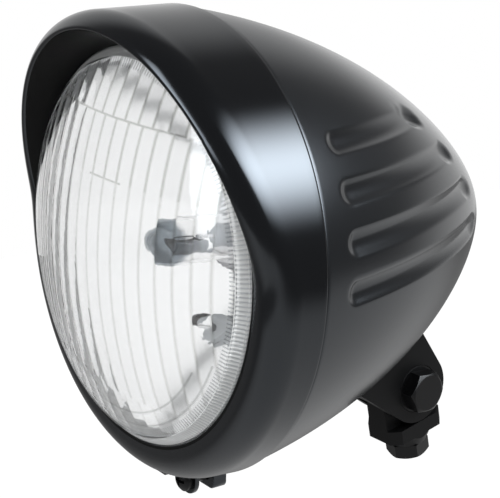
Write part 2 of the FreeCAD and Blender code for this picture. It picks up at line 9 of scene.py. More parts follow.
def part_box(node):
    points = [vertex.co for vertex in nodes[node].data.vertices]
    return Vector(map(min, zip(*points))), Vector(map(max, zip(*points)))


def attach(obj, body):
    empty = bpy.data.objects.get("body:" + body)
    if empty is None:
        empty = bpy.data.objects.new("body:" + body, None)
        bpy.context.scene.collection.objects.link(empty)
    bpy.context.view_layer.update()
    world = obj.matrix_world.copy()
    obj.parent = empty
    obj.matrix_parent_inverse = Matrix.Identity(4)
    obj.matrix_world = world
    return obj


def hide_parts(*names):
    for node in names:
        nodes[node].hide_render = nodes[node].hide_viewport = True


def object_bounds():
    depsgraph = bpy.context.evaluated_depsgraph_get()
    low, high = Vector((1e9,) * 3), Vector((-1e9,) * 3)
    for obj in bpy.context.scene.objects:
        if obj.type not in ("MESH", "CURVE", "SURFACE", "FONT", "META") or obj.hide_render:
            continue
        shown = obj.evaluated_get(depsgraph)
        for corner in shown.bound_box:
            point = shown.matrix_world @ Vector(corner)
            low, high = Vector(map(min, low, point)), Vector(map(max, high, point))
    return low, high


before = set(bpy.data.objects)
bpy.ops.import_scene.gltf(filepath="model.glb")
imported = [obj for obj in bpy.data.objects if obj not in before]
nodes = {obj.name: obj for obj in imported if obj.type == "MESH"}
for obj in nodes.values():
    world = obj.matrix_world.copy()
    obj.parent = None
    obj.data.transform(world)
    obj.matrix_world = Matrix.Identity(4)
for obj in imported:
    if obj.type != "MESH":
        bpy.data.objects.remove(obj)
cadLow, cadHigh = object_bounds()
scene = bpy.context.scene

# the lamp is drawn about its own axis in millimetres, from the ring's rear edge,
# and then put where the CAD has it
lensLow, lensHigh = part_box("lens")
axisHeight = 500.0 * (lensLow.z + lensHigh.z)
rearEdge = 1000.0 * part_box("trim_ring")[1].y
print("frame loaded, lamp axis at", round(axisHeight, 2), "mm, ring's rear edge at", round(rearEdge, 2), "mm")

# mesh making: sides of a drilled hole, and how near two points count as one, in metres
meshSet = {"drillSides": 48, "weldGap": 2e-7}


def toRow(points):
    return (np.asarray(points, float) + (0.0, rearEdge, axisHeight)) / 1000.0


def gridFaces(rows, cols, wrapRows, wrapCols, start=0):
    rowCount = rows if wrapRows else rows - 1
    colCount = cols if wrapCols else cols - 1
    a, b = np.meshgrid(np.arange(rowCount), np.arange(colCount), indexing="ij")
    c, d = (a + 1) % rows, (b + 1) % cols
    corners = np.stack([a * cols + b, c * cols + b, c * cols + d, a * cols + d], -1)
    return (corners.reshape(-1, 4) + start).tolist()


def makePiece(name, points, faces, sharpAngle=32.0):
    mesh = bpy.data.meshes.new(name)
    mesh.from_pydata(points.tolist(), [], faces)
    work = bmesh.new()
    work.from_mesh(mesh)
    bmesh.ops.remove_doubles(work, verts=work.verts, dist=meshSet["weldGap"])
    bmesh.ops.recalc_face_normals(work, faces=work.faces)
    work.to_mesh(mesh)
    work.free()
    mesh.shade_smooth()
    mesh.set_sharp_from_angle(angle=math.radians(sharpAngle))
    piece = bpy.data.objects.new(name, mesh)
    scene.collection.objects.link(piece)
    return piece


def standIn(piece, node):
    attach(piece, "lamp")
    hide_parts(node)
    return piece


def spin(profile, angles):
    # (y, radius) outline carried round the lamp axis, angles from straight up towards +X
    y, r = np.array(profile, float).T
    turn = np.asarray(angles)[:, None]
    return np.stack([np.sin(turn) * r, np.ones_like(turn) * y, np.cos(turn) * r], -1)


def softCorner(before, corner, after, count):
    # rounded corner between two points near it
    t = np.linspace(0.0, 1.0, count)[:, None]
    p, q, s = np.array(before), np.array(corner), np.array(after)
    return ((1 - t) ** 2 * p + 2 * t * (1 - t) * q + t ** 2 * s).tolist()


def drillHoles(piece, holes):
    # round holes through a shell: (point, direction, radius, half length) in lamp millimetres
    sides = meshSet["drillSides"]
    points, faces = [], []
    for centre, direction, radius, half in holes:
        axis = Vector(direction).normalized()
        side = axis.orthogonal().normalized()
        other = axis.cross(side)
        first = len(points)
        for end in (-half, half):
            for i in range(sides):
                a = 2 * math.pi * i / sides
                spoke = side * math.cos(a) + other * math.sin(a)
                points.append(Vector(centre) + axis * end + spoke * radius)
        near = list(range(first, first + sides))
        far = list(range(first + sides, first + 2 * sides))
        faces += [[near[i], near[(i + 1) % sides], far[(i + 1) % sides], far[i]] for i in range(sides)]
        faces += [near, far]
    cutter = makePiece("drill", toRow([tuple(p) for p in points]), faces)
    cut = piece.modifiers.new("drill", "BOOLEAN")
    cut.operation, cut.solver, cut.object = "DIFFERENCE", "EXACT", cutter
    done = bpy.data.meshes.new_from_object(piece.evaluated_get(bpy.context.evaluated_depsgraph_get()))
    piece.modifiers.clear()
    piece.data = done
    bpy.data.objects.remove(cutter)


# bucket: egg-shaped shell with four pressed flutes on each side
bucketSet = {
    "radius": 82.8, "length": 141.0, "wall": 2.8, "seam": 0.5, "edgeRound": 0.5,
    "curve": (0.994, 0.52, -0.21, -0.57),
    "neckRadius": 80.4, "neckInside": 78.2, "neckFront": -6.0, "neckBack": 5.0,
    "fluteHeights": (43.5, 29.0, 13.5, -2.0), "fluteEnds": (67.0, 85.0, 99.0, 104.0),
    "fluteStart": 15.0, "fluteRise": 0.045, "fluteDepth": 1.7,
    "fluteHollow": 6.2, "fluteShoulder": 2.6, "fluteFade": 0.4,
    "screwY": 88.0, "screwPitch": 10.5, "screwHole": 3.3, "cableY": 48.0, "cableHole": 6.0, "holeHalf": 9.0,
    # mesh: fine columns over the flutes, in degrees from the top, fewer above and below them
    "fineFrom": 44.0, "fineTo": 107.0, "fineStep": 0.42, "topColumns": 44, "underColumns": 73,
    "rows": 176, "rowSpread": 0.92, "rowCrowd": 0.85, "tipSlope": 4, "edgeRows": 5, "innerRows": 24,
}


def eggRadius(y, grow=0.0):
    s = bucketSet
    v = np.asarray(y, float) / (s["length"] + grow)
    c = s["curve"]
    square = (1 - v) * (c[0] + c[1] * v + c[2] * v ** 2 + c[3] * v ** 3)
    return (s["radius"] + grow) * np.sqrt(np.maximum(square, 0.0))


def fluteDrop(across, past):
    # depth of one flute: a hollow with rounded shoulders, round at both ends
    s = bucketSet
    hollow, shoulder, depth = s["fluteHollow"], s["fluteShoulder"], s["fluteDepth"]
    turn = math.acos(1 - depth / (hollow + shoulder))
    half, middle = (hollow + shoulder) * math.sin(turn), hollow * math.sin(turn)
    d = np.hypot(across, past)
    inner = depth - hollow + np.sqrt(np.maximum(hollow ** 2 - d ** 2, 0.0))
    outer = shoulder - np.sqrt(np.maximum(shoulder ** 2 - np.clip(half - d, 0, shoulder) ** 2, 0.0))
    return np.where(d < middle, inner, np.where(d < half, outer, 0.0))


def buildBucket():
    s = bucketSet
    dense = np.radians(np.arange(s["fineFrom"], s["fineTo"], s["fineStep"]))
    under = np.radians(np.linspace(s["fineTo"], 360.0 - s["fineTo"], s["underColumns"] + 1)[:-1])
    top = np.radians(np.linspace(-s["fineFrom"], s["fineFrom"], s["topColumns"] + 1)[:-1])
    angles = np.concatenate([top, dense, under, 2 * math.pi - dense[::-1]])
    angles = np.unique(np.round(angles, 7))
    share = np.linspace(0.0, 1.0, s["rows"])
    reach = s["length"] - s["seam"] - s["edgeRound"]
    outerY = s["length"] - reach * (1 - np.cos(0.5 * math.pi * share ** s["rowSpread"])) ** s["rowCrowd"]
    outerR = eggRadius(outerY)
    slope = np.gradient(outerR, outerY)
    slope[0] = slope[1] * s["tipSlope"]
    grid = spin(np.stack([outerY, outerR], -1), angles)
    normalR = 1 / np.sqrt(1 + slope ** 2)
    normalY = -slope * normalR
    drop = np.zeros(grid.shape[:2])
    for height, end in zip(s["fluteHeights"], s["fluteEnds"]):
        y = np.clip(outerY, s["fluteStart"], end)
        lift = height + s["fluteRise"] * (y - s["fluteStart"])
        at = np.arccos(np.clip(lift / np.maximum(eggRadius(y), 1.0), -1, 1))
        past = (outerY - y) * np.sqrt(1 + slope ** 2)
        past = np.where(past > 0, past * s["fluteFade"], past)  # the rear end runs out softly
        for side in (1, -1):
            turn = (angles[:, None] - side * at + math.pi) % (2 * math.pi) - math.pi
            drop = np.maximum(drop, fluteDrop(turn * np.maximum(outerR, 0.01), past))
    grid = grid - spin(np.stack([normalY, normalR], -1), angles) * drop[:, :, None]
    seam, edge = s["seam"], s["edgeRound"]
    frontR = float(eggRadius(seam + edge))
    front = softCorner((seam + edge, frontR), (seam, frontR), (seam, frontR - edge), s["edgeRows"])[1:]
    front += [(seam, s["neckRadius"]), (s["neckFront"], s["neckRadius"]), (s["neckFront"], s["neckInside"]),
              (s["neckBack"], s["neckInside"])]
    innerTip = s["length"] - s["wall"]
    for k in range(s["innerRows"] + 1):
        y = s["neckBack"] + (innerTip - s["neckBack"]) * math.sin(0.5 * math.pi * k / s["innerRows"])
        front.append((y, float(eggRadius(y, -s["wall"]))))
    grid = np.concatenate([grid, spin(front, angles)], 1)
    piece = makePiece("bucketShell", toRow(grid.reshape(-1, 3)), gridFaces(*grid.shape[:2], True, False))
    # holes for the saddle screws and the cable, square to the skin
    holes = []
    for y, shifts, radius in ((s["screwY"], (-s["screwPitch"], s["screwPitch"]), s["screwHole"]),
                              (s["cableY"], (0.0,), s["cableHole"])):
        lean = float(eggRadius(y + 0.5) - eggRadius(y - 0.5))
        down = Vector((0, -lean, -1)).normalized()
        ahead = Vector((0, -down.z, down.y))
        for shift in shifts:
            holes.append((Vector((0, y, -float(eggRadius(y)))) + ahead * shift, down, radius, s["holeHalf"]))
    drillHoles(piece, holes)
    return standIn(piece, "bucket")


bucketShell = buildBucket()
print("bucket built,", len(bucketShell.data.polygons), "faces")

# hooded ring: one thin section carried round, its nose running out at the top
ringSet = {
    "radius": 83.2, "taper": 0.06, "wall": 1.8, "bend": 10.0,
    "bezelDepth": 18.6, "hoodDepth": 37.8, "bezelNose": 72.0, "hoodNose": 3.0, "opening": 69.4,
    "hoodHalf": 86.0, "hoodCurl": 0.078, "hoodBlend": 4.0,
    "noseRound": 1.3, "edgeRound": 0.6, "openingRound": 0.35, "backStep": 0.2, "backRise": 0.6,
    "steps": 320, "sharp": 40.0, "bendSteps": 59,
    # points on each stretch of the section
    "rows": {"rear": 6, "flank": 10, "bend": 24, "lip": 9, "under": 9, "edge": 4, "inside": 6, "wall": 9},
}


def noseDepth(angle):
    s = ringSet
    share = (angle / s["hoodHalf"]) ** 2
    rise = s["hoodDepth"] - s["bezelDepth"]
    hood = rise - rise * ((1 + s["hoodCurl"]) * share - s["hoodCurl"] * share ** 2)
    return s["bezelDepth"] + 0.5 * (hood + math.sqrt(hood * hood + s["hoodBlend"]))


def ringSection(angle):
    s, rows = ringSet, ringSet["rows"]
    depth = noseDepth(abs(angle))
    share = (depth - s["bezelDepth"]) / (s["hoodDepth"] - s["bezelDepth"])
    flankY = s["bend"] - depth
    flankR = s["radius"] + s["taper"] * flankY
    nose = np.array((-depth, s["bezelNose"] + s["hoodNose"] * share))
    fall = flankR - nose[1]
    bendR = (s["bend"] ** 2 + fall ** 2) / (2 * fall)
    centre = np.array((flankY, flankR - bendR))
    edge = np.array((-s["bezelDepth"], s["opening"]))
    back = np.array((-s["bezelDepth"] + s["wall"] + s["backStep"], s["opening"] + s["backRise"]))
    along = (edge - nose) / np.linalg.norm(edge - nose)
    normal = np.array((-along[1], along[0]))
    # where the inside of the hood's wall meets the inside of the bend
    base = nose + s["wall"] * normal - centre
    dot = base @ along
    root = math.sqrt(dot * dot - base @ base + (bendR - s["wall"]) ** 2)
    step = -dot - root if -dot - root >= 0 else -dot + root
    inside = centre + base + step * along

    def turnTo(point):
        return math.atan2(point[1] - centre[1], point[0] - centre[0]) % (2 * math.pi)

    def arc(radius, start, end, count):
        return [(centre[0] + radius * math.cos(t), centre[1] + radius * math.sin(t))
                for t in np.linspace(turnTo(start), turnTo(end), count)]

    e, n, o = s["edgeRound"], s["noseRound"], s["openingRound"]
    rearEnd = (-e, s["radius"] - s["taper"] * e)
    points = softCorner((0.0, s["radius"] - e), (0.0, s["radius"]), rearEnd, rows["rear"])
    points += np.linspace(rearEnd, (flankY, flankR), rows["flank"])[1:-1].tolist()
    bend = arc(bendR, (flankY, flankR), nose, s["bendSteps"] + 1)
    bendLength = bendR * abs(turnTo(nose) - 0.5 * math.pi)
    # the bend stops where the nose's round starts
    cutAt = max(2, int(round(s["bendSteps"] * (1 - n / bendLength))))
    kept = [bend[int(round(i))] for i in np.linspace(0, cutAt, rows["bend"])]
    points += kept
    lip = nose + along * n
    points += softCorner(kept[-1], nose, lip, rows["lip"])[1:]
    wallStart = len(points) - 1
    points += np.linspace(lip, edge - along * o, rows["under"])[1:].tolist()
    wallEnd = len(points) - 1
    inward = (back - edge) / np.linalg.norm(back - edge)
    points += softCorner(edge - along * o, edge, edge + inward * o, rows["edge"])[1:]
    points += np.linspace(back, inside, rows["inside"]).tolist()
    points += arc(bendR - s["wall"], inside, (flankY, flankR - s["wall"]), rows["wall"])[1:]
    innerR = s["radius"] - s["wall"]
    points += [(0.5 * flankY, innerR + 0.5 * s["taper"] * flankY), (0.0, innerR)]
    return points, wallStart, wallEnd


def buildRing():
    s = ringSet
    rows = []
    for i in range(s["steps"]):
        angle = -180.0 + 360.0 * i / s["steps"]
        section, wallStart, wallEnd = ringSection(angle)
        rows.append(spin(section, [math.radians(angle)])[0])
    grid = np.array(rows)
    faces = gridFaces(*grid.shape[:2], True, True)
    piece = makePiece("hoodedRing", toRow(grid.reshape(-1, 3)), faces, s["sharp"])
    # the inside of the hood has a second, duller finish
    around = np.arange(len(piece.data.polygons)) % grid.shape[1]
    dull = (around >= wallStart) & (around < wallEnd)
    piece.data.polygons.foreach_set("material_index", dull.astype(np.int32))
    return standIn(piece, "trim_ring")


hoodedRing = buildRing()
print("ring built,", len(hoodedRing.data.polygons), "faces")

# lens: smooth dome in front, pressed ribs behind, knurled skirt
lensSet = {
    "domeRadius": 65.9, "domeEdge": -22.3, "rise": 15.8, "thick": 3.4, "insideRadius": 64.7,
    "skirtRadius": 68.9, "skirtY": -19.0, "flangeRadius": 71.8, "flangeFront": -16.4, "flangeBack": -13.4,
    "columns": 720, "frontRows": 25, "backRows": 81, "sharp": 28.0,
    # rib zones from the top down: lower edge, rib height, shift and lean of the ribs, how dark the painted
    # shade in their valleys is, and from where to where a painted shade line runs along the step at the lower
    # edge
    "zones": (
        dict(low=46.5, height=0.10, shift=3.5, lean=0.02, line=1.0, step=(-36.0, 40.0)),
        dict(low=27.2, height=0.10, shift=0.0, lean=0.0, line=0.9, step=(-2.0, 16.0)),
        dict(low=-47.0, height=0.08, shift=0.0, lean=0.0, line=0.6, step=(0.0, 0.0)),
        dict(low=-80.0, height=0.05, shift=3.5, lean=0.0, line=0.3, step=(0.0, 0.0)),
    ),
    "pitch": 7.0, "zoneTop": 100.0, "zoneTilt": 0.07, "zoneBlend": 1.0, "zoneStep": 0.18, "ribFade": 1.5,
    # half widths of the painted shade lines in the rib valleys and along the steps, and the darkest painted
    # shade
    "lineHalf": 1.15, "stepHalf": 0.6, "ribShadeTone": (0.33, 0.34, 0.31),
    # painted shade lines along pressed arcs near the bottom: radius, half width, upper end
    "arcs": ((55.5, 0.7, -30.0), (60.5, 0.7, -26.0)), "arcShadeTone": (0.42, 0.43, 0.42),
    # knurl on the skirt's cone: share of the way along it, share of the tooth depth there
    "knurlRows": ((0.06, 0.0), (0.12, 1.0), (0.5, 1.0), (0.9, 1.0), (0.97, 0.0), (1.0, 0.0)),
    "knurlDepth": 0.4, "teeth": 288, "toothInner": 61.8, "toothHalf": 0.36,  # half is a share of one tooth
    # tones of the painted shade between the teeth, on the dome's edge and across the rim
    "toothShadeTone": (0.30, 0.32, 0.33), "rimShadeTone": (0.66, 0.69, 0.70),
}


def ribHeight(x, z):
    s = lensSet
    total, above = np.zeros_like(x), np.ones_like(x)
    for k, zone in enumerate(s["zones"]):
        u = ((x - zone["shift"] - zone["lean"] * z) / s["pitch"]) % 1.0 * 2 - 1
        rib = zone["height"] * (1 - u * u) + s["zoneStep"] * (k == 0)
        t = np.clip((z + s["zoneTilt"] * x - zone["low"]) / s["zoneBlend"] + 0.5, 0, 1)
        weight = above * t * t * (3 - 2 * t)
        total += weight * rib
        above = above - weight
    return total


def discPoints(radius, rows):
    # columns across the disc, each from its lower to its upper edge; both end columns are single points
    count = lensSet["columns"]
    turn = math.pi * np.arange(1, count) / count
    x = -radius * np.cos(turn)
    z = (radius * np.sin(turn))[:, None] * np.sin(0.5 * math.pi * np.linspace(-1, 1, rows))
    return np.broadcast_to(x[:, None], z.shape).copy(), z


def buildLens():
    s = lensSet
    count = s["columns"]
    ball = (s["domeRadius"] ** 2 + s["rise"] ** 2) / (2 * s["rise"])
    apex = s["domeEdge"] - s["rise"]
    points, faces, loops = [], [], []
    size = 0
    for front in (True, False):
        rows = s["frontRows"] if front else s["backRows"]
        radius = s["domeRadius"] if front else s["insideRadius"]
        x, z = discPoints(radius, rows)
        bulge = ball - np.sqrt(ball ** 2 - x ** 2 - z ** 2)
        y = apex + bulge
        endY = apex + ball - math.sqrt(ball ** 2 - radius ** 2)
        if not front:
            fade = np.clip((radius - np.hypot(x, z)) / s["ribFade"], 0, 1)
            y = y + s["thick"] + ribHeight(x, z) * fade
            endY += s["thick"]
            ribStart = len(faces)
        grid = np.stack([x, y, z], -1).reshape(-1, 3)
        ends = np.array([(-radius, endY, 0.0), (radius, endY, 0.0)])
        points += [grid, ends]
        faces += gridFaces(count - 1, rows, False, False, size)
        left, right = size + len(grid), size + len(grid) + 1
        last = size + (count - 2) * rows
        faces += [[left, size + j + 1, size + j] for j in range(rows - 1)]
        faces += [[right, last + j, last + j + 1] for j in range(rows - 1)]
        ribEnd = len(faces)
        lower = size + rows * np.arange(count - 1)
        loops.append(np.concatenate([[left], lower + rows - 1, [right], lower[::-1]]))
        size += len(grid) + 2
    # rim between the two domes: knurled cone, flange and inside wall
    around = 2 * count
    turn = math.pi - 2 * math.pi * np.arange(around) / around
    ridge = -0.5 * s["knurlDepth"] * (1 + np.cos(s["teeth"] * turn))
    cone = np.array((s["skirtRadius"] - s["domeRadius"], s["skirtY"] - s["domeEdge"]))
    out = np.array((cone[1], -cone[0])) / np.hypot(*cone)
    ring = [(s["domeRadius"] + cone[0] * t, s["domeEdge"] + cone[1] * t, k) for t, k in s["knurlRows"]]
    ring += [(s["skirtRadius"], s["flangeFront"], 0), (s["flangeRadius"], s["flangeFront"], 0),
             (s["flangeRadius"], s["flangeBack"], 0), (s["insideRadius"], s["flangeBack"], 0)]
    chain = [loops[0]]
    for r, y, k in ring:
        radius = r + ridge * k * out[0]
        points.append(np.stack([radius * np.cos(turn), y + ridge * k * out[1], radius * np.sin(turn)], -1))
        chain.append(size + np.arange(around))
        size += around
    chain.append(loops[1])
    for a, b in zip(chain[:-1], chain[1:]):
        faces += np.stack([a, np.roll(a, -1), np.roll(b, -1), b], -1).tolist()
    piece = makePiece("ribbedLens", toRow(np.concatenate(points)), faces, s["sharp"])
    # the ribbed back and the knurled rim have their own glass
    order = np.arange(len(piece.data.polygons))
    glass = np.where(order >= ribEnd, 2, order >= ribStart)
    piece.data.polygons.foreach_set("material_index", glass.astype(np.int32))
    return standIn(piece, "lens")


ribbedLens = buildLens()
print("lens built,", len(ribbedLens.data.polygons), "faces")

# mirror bowl behind the lens
bowlSet = {
    "front": -12.4, "radius": 65.0, "focus": 24.0, "neck": 19.0, "wall": 0.9, "backShift": 0.35,
    "flange": 71.8, "neckLength": 3.0, "neckFlange": 25.0, "neckFlangeWall": 1.0,
    "parkRadius": 36.0, "parkHole": 6.0, "holeHalf": 6.0, "rows": 46, "steps": 180,
}


def bowlDepth(r):
    s = bowlSet
    return s["front"] + (s["radius"] ** 2 - r * r) / (4 * s["focus"])


def buildBowl():
    s = bowlSet
    inner = np.linspace(s["radius"], s["neck"], s["rows"])
    end = bowlDepth(s["neck"]) + s["neckLength"]
    step = end - s["neckFlangeWall"]
    profile = [(s["front"], s["flange"])] + [(bowlDepth(r), r) for r in inner]
    profile += [(end, s["neck"]), (end, s["neckFlange"]), (step, s["neckFlange"]),
                (step, s["neck"] + s["wall"])]
    profile += [(bowlDepth(r) + s["backShift"] * s["wall"], r + s["wall"]) for r in inner[::-1]]
    profile += [(s["front"] + s["wall"], s["radius"] + s["wall"]), (s["front"] + s["wall"], s["flange"])]
    grid = spin(profile, np.linspace(0, 2 * math.pi, s["steps"] + 1)[:-1])
    piece = makePiece("mirrorBowl", toRow(grid.reshape(-1, 3)), gridFaces(*grid.shape[:2], True, True))
    # hole for the parking bulb, square to the bowl
    park = s["parkRadius"]
    lean = math.atan2(park / (2 * s["focus"]), 1.0)
    outward = Vector((0, math.cos(lean), -math.sin(lean)))
    drillHoles(piece, [(Vector((0, bowlDepth(park), -park)), outward, s["parkHole"], s["holeHalf"])])
    return standIn(piece, "reflector")


mirrorBowl = buildBowl()
print("bowl built,", len(mirrorBowl.data.polygons), "faces")


def addNode(tree, kind, **settings):
    node = tree.nodes.new(kind)
    for key, value in settings.items():
        if key in node.inputs:
            node.inputs[key].default_value = value
        else:
            setattr(node, key, value)
    return node


def feed(tree, value, socket):
    # another node's output is linked, a plain number is set
    if isinstance(value, bpy.types.NodeSocket):
        tree.links.new(value, socket)
    else:
        socket.default_value = value


def calc(tree, kind, *values):
    node = addNode(tree, "ShaderNodeMath", operation=kind)
    for socket, value in zip(node.inputs, values):
        feed(tree, value, socket)
    return node.outputs[0]


def ramp(tree, value, start, end, first, last, kind="SMOOTHSTEP"):
    # goes from first to last while the value goes from start to end
    node = addNode(tree, "ShaderNodeMapRange", interpolation_type=kind)
    ends = (("From Min", start), ("From Max", end), ("To Min", first), ("To Max", last))
    for key, number in (("Value", value), *ends):
        feed(tree, number, node.inputs[key])
    return node.outputs["Result"]


def mixShaders(tree, factor, base, over):
    node = addNode(tree, "ShaderNodeMixShader")
    for socket, value in zip(node.inputs, (factor, base, over)):
        tree.links.new(value, socket)
    return node.outputs[0]


# shared effects, built once and placed in each material with its own values
def newGroup(name, inputs, outputs):
    group = bpy.data.node_groups.new(name, "ShaderNodeTree")
    for label, kind, value in inputs:
        socket = group.interface.new_socket(name=label, in_out="INPUT", socket_type=kind)
        socket.default_value = value
    for label, kind in outputs:
        group.interface.new_socket(name=label, in_out="OUTPUT", socket_type=kind)
    return group, group.nodes.new("NodeGroupInput"), group.nodes.new("NodeGroupOutput")


# grain: shares of fine noise and slow drift in the tone, and the tones between which roughness changes
grainSet = {"fineShare": 0.45, "driftShare": 0.55, "lowTone": 0.3, "highTone": 0.7}


def buildGrain():
    # fine grain of a sprayed or cast coat, with slow drifts of tone
    s = grainSet
    inputs = [("Scale", "NodeSocketFloat", 1500.0), ("Drift", "NodeSocketFloat", 30.0),
              ("Dark", "NodeSocketColor", (0.01, 0.01, 0.01, 1)),
              ("Light", "NodeSocketColor", (0.02, 0.02, 0.02, 1)),
              ("RoughLow", "NodeSocketFloat", 0.3), ("RoughHigh", "NodeSocketFloat", 0.4)]
    outputs = [("Color", "NodeSocketColor"), ("Roughness", "NodeSocketFloat"), ("Height", "NodeSocketFloat")]
    group, source, sink = newGroup("coatGrain", inputs, outputs)
    link = group.links.new
    given = source.outputs
    place = addNode(group, "ShaderNodeTexCoord")
    fine = addNode(group, "ShaderNodeTexNoise", Detail=3.0, Roughness=0.55)
    slow = addNode(group, "ShaderNodeTexNoise", Detail=2.0)
    for noise, scale in ((fine, "Scale"), (slow, "Drift")):
        link(place.outputs["Object"], noise.inputs["Vector"])
        link(given[scale], noise.inputs["Scale"])
    drift = calc(group, "MULTIPLY", slow.outputs["Fac"], s["driftShare"])
    mixed = calc(group, "MULTIPLY_ADD", fine.outputs["Fac"], s["fineShare"], drift)
    tone = addNode(group, "ShaderNodeMix", data_type="RGBA")
    link(mixed, tone.inputs["Factor"])
    link(given["Dark"], tone.inputs["A"])
    link(given["Light"], tone.inputs["B"])
    rough = ramp(group, mixed, s["lowTone"], s["highTone"], given["RoughLow"], given["RoughHigh"], "LINEAR")
    link(tone.outputs["Result"], sink.inputs["Color"])
    link(rough, sink.inputs["Roughness"])
    link(fine.outputs["Fac"], sink.inputs["Height"])
    return group


def maskGroup(name, *sizes):
    # group with a number for each size and one mask out, and its own short form of calc
    inputs = [(size, "NodeSocketFloat", 0.001) for size in sizes]
    group, source, sink = newGroup(name, inputs, [("Mask", "NodeSocketFloat")])
    return group, partial(calc, group), source.outputs, sink.inputs["Mask"]


def objectPlace(tree):
    place = addNode(tree, "ShaderNodeTexCoord")
    split = addNode(tree, "ShaderNodeSeparateXYZ")
    tree.links.new(place.outputs["Object"], split.inputs[0])
    return split.outputs


def lampPlane(tree):
    # across the lamp and up from its axis, in metres
    place = objectPlace(tree)
    return place["X"], calc(tree, "SUBTRACT", place["Z"], axisHeight / 1000.0)


def fromAxis(tree, x, height):
    return calc(tree, "SQRT", calc(tree, "MULTIPLY_ADD", x, x, calc(tree, "MULTIPLY", height, height)))


def softLine(tree, away, half):
    # 1 on the line, falling to 0 at half its width
    return ramp(tree, away, 0.0, half, 1.0, 0.0)


def buildRibShadeLines():
    # painted shade lines in the valleys of one zone of ribs and along the step at its lower edge, lengths in
    # metres
    group, do, size, mask = maskGroup("ribShadeLines", "Pitch", "Shift", "Lean", "Low", "High", "Half",
                                      "StepHalf", "StepStart", "StepEnd")
    x, height = lampPlane(group)
    across = do("SUBTRACT", do("SUBTRACT", x, size["Shift"]), do("MULTIPLY", height, size["Lean"]))
    turn = do("FRACT", do("ADD", do("DIVIDE", across, size["Pitch"]), 0.5))
    away = do("MULTIPLY", do("ABSOLUTE", do("SUBTRACT", turn, 0.5)), size["Pitch"])
    tilted = do("MULTIPLY_ADD", x, lensSet["zoneTilt"], height)
    inside = do("MULTIPLY", do("GREATER_THAN", tilted, size["Low"]), do("LESS_THAN", tilted, size["High"]))
    valley = do("MULTIPLY", softLine(group, away, size["Half"]), inside)
    between = do("MULTIPLY", do("GREATER_THAN", x, size["StepStart"]), do("LESS_THAN", x, size["StepEnd"]))
    over = do("ABSOLUTE", do("SUBTRACT", tilted, size["Low"]))
    step = do("MULTIPLY", softLine(group, over, size["StepHalf"]), between)
    group.links.new(do("MAXIMUM", valley, step), mask)
    return group


def buildToothShadeLines():
    # painted shade lines between the teeth of the knurled rim, outside a given radius
    group, do, size, mask = maskGroup("toothShadeLines", "Teeth", "Inner", "Half")
    x, height = lampPlane(group)
    share = do("MULTIPLY", do("ARCTAN2", height, x), 0.5 / math.pi)
    turn = do("FRACT", do("MULTIPLY_ADD", share, size["Teeth"], 0.5))
    away = do("ABSOLUTE", do("SUBTRACT", turn, 0.5))
    outside = do("GREATER_THAN", fromAxis(group, x, height), size["Inner"])
    group.links.new(do("MULTIPLY", softLine(group, away, size["Half"]), outside), mask)
    return group


def buildArcShadeLines():
    # painted shade line along a pressed arc round the lamp axis, below a given height
    group, do, size, mask = maskGroup("arcShadeLines", "Radius", "Half", "High")
    x, height = lampPlane(group)
    away = do("ABSOLUTE", do("SUBTRACT", fromAxis(group, x, height), size["Radius"]))
    below = do("LESS_THAN", height, size["High"])
    group.links.new(do("MULTIPLY", softLine(group, away, size["Half"]), below), mask)
    return group


def buildTipShade():
    # paint on the front end of the bulb
    group, do, size, mask = maskGroup("tipShade", "End", "Soft")
    behind = do("SUBTRACT", objectPlace(group)["Y"], size["End"])
    group.links.new(softLine(group, behind, size["Soft"]), mask)
    return group


coatGrain = buildGrain()
ribShadeLines = buildRibShadeLines()
toothShadeLines = buildToothShadeLines()
arcShadeLines = buildArcShadeLines()
tipShade = buildTipShade()

